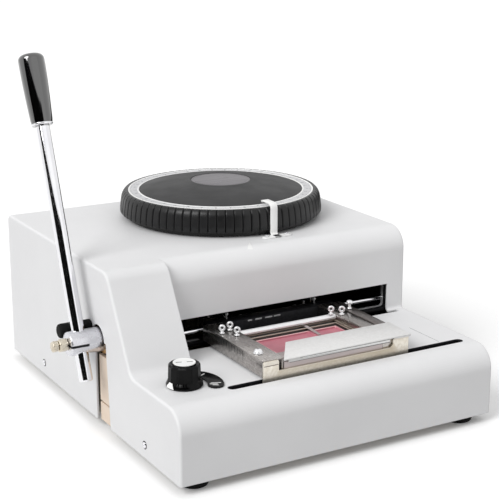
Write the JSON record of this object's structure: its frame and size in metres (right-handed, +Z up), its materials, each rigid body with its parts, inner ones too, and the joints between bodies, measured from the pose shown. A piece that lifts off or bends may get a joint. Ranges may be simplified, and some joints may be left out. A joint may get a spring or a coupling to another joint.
{
  "type": "manual dog tag embosser",
  "caption": "Bench embosser for metal dog tags: sheet-metal cover, round type dial on top, side pull lever, sliding tag carriage and pressure knob.",
  "frame": {"origin": "centre of the whole machine's outline, lever and lock bolt included, on the surface that the feet stand on", "axes": "+X to the operator's right, away from the lever; +Y from the front to the back; +Z up"},
  "size_m": [0.4154, 0.44, 0.381],
  "materials": {
    "powder_coat": "fine powder coat, light grey-white",
    "cream_casting": "cast iron painted cream",
    "cream_paint": "cream satin paint on steel",
    "rubber": "moulded black rubber",
    "chrome": "bright chrome plate",
    "bronze": "turned bronze and brass",
    "steel": "ground steel",
    "black_steel": "blackened steel",
    "gloss_black": "glossy moulded plastic",
    "matte_black": "satin moulded plastic",
    "silver_white": "silver-white printed band",
    "badge_grey": "bare dark grey plate",
    "white_paint": "white paint on bent sheet",
    "pink_plastic": "pink-red moulded plastic"
  },
  "bodies": {
    "root": {"cover": "powder_coat", "base_casting": "cream_casting", "foot_front_left": "rubber", "foot_front_right": "rubber", "foot_rear_left": "rubber", "foot_rear_right": "rubber", "cover_screw_left_front": "chrome", "cover_screw_left_rear": "chrome", "cover_screw_right_front": "chrome", "cover_screw_right_rear": "chrome", "left_side_frame": "cream_paint", "right_side_frame": "cream_paint", "top_bridge": "cream_paint", "lever_bushing": "bronze", "return_spring": "steel", "bumper_stud": "steel", "stop_bumper": "rubber", "guide_post": "steel", "anvil_block": "steel", "dial_bearing": "bronze", "dial_pointer": "white_paint", "pointer_screw_left": "chrome", "pointer_screw_right": "chrome", "scale_plate": "matte_black", "rail_bracket": "black_steel", "guide_rail": "chrome"},
    "lever": {"lever_shaft": "steel", "lever_hub": "chrome", "hub_lock_nut": "bronze", "hub_lock_bolt": "bronze", "lever_rod": "chrome", "lever_grip": "gloss_black", "press_cam": "steel"},
    "press": {"press_beam": "steel"},
    "dial": {"dial_wheel": "matte_black", "dial_ring": "silver_white", "dial_face": "matte_black", "dial_badge": "badge_grey", "dial_shaft": "steel", "lower_die_disc": "steel", "upper_die_disc": "steel"},
    "knob": {"pressure_knob": "matte_black", "knob_cap": "silver_white"},
    "carriage": {"carriage_left_bar": "steel", "carriage_inner_bar": "steel", "carriage_outer_bar": "black_steel", "carriage_front_plate": "cream_paint", "carriage_back_rail": "chrome", "carriage_slide": "black_steel", "thumb_screw_left_a": "chrome", "thumb_screw_left_b": "chrome", "thumb_screw_left_c": "chrome", "thumb_screw_right_a": "chrome", "thumb_screw_right_b": "chrome", "thumb_screw_right_c": "chrome", "dome_screw": "chrome"},
    "clamp": {"clamp_plate": "white_paint"},
    "tray": {"tag_tray": "black_steel", "tray_insert": "pink_plastic", "divider_clip": "chrome"}
  },
  "joints": [
    {"name": "lever_pull", "type": "hinge", "parent": "root", "child": "lever", "pos_m": [-0.17775, -0.038, 0.0996], "axis": [1, 0, 0], "range_deg": [0, 65], "stiffness_Nm_per_rad": 0.5, "springref_deg": -17.19},
    {"name": "press_stroke", "type": "slide", "parent": "root", "child": "press", "axis": [0, 0, -1], "range_m": [0, 0.004]},
    {"name": "dial_spin", "type": "hinge", "parent": "root", "child": "dial", "pos_m": [0.05925, 0.0985, 0.175], "axis": [0, 0, 1], "continuous": true},
    {"name": "knob_turn", "type": "hinge", "parent": "root", "child": "knob", "pos_m": [-0.12025, -0.157, 0.0823], "axis": [0, 0, 1], "range_deg": [-35, 35]},
    {"name": "carriage_shift", "type": "slide", "parent": "root", "child": "carriage", "axis": [1, 0, 0], "range_m": [-0.037, 0.06]},
    {"name": "tray_shift", "type": "slide", "parent": "carriage", "child": "tray", "axis": [0, 1, 0], "range_m": [-0.018, 0.004]},
    {"name": "clamp_open", "type": "hinge", "parent": "carriage", "child": "clamp", "pos_m": [0.05925, -0.1866, 0.0978], "axis": [1, 0, 0], "range_deg": [0, 70]}
  ],
  "couplings": [
    {"joint": "press_stroke", "follows": "lever_pull", "m_per_rad": 0.003525}
  ]
}
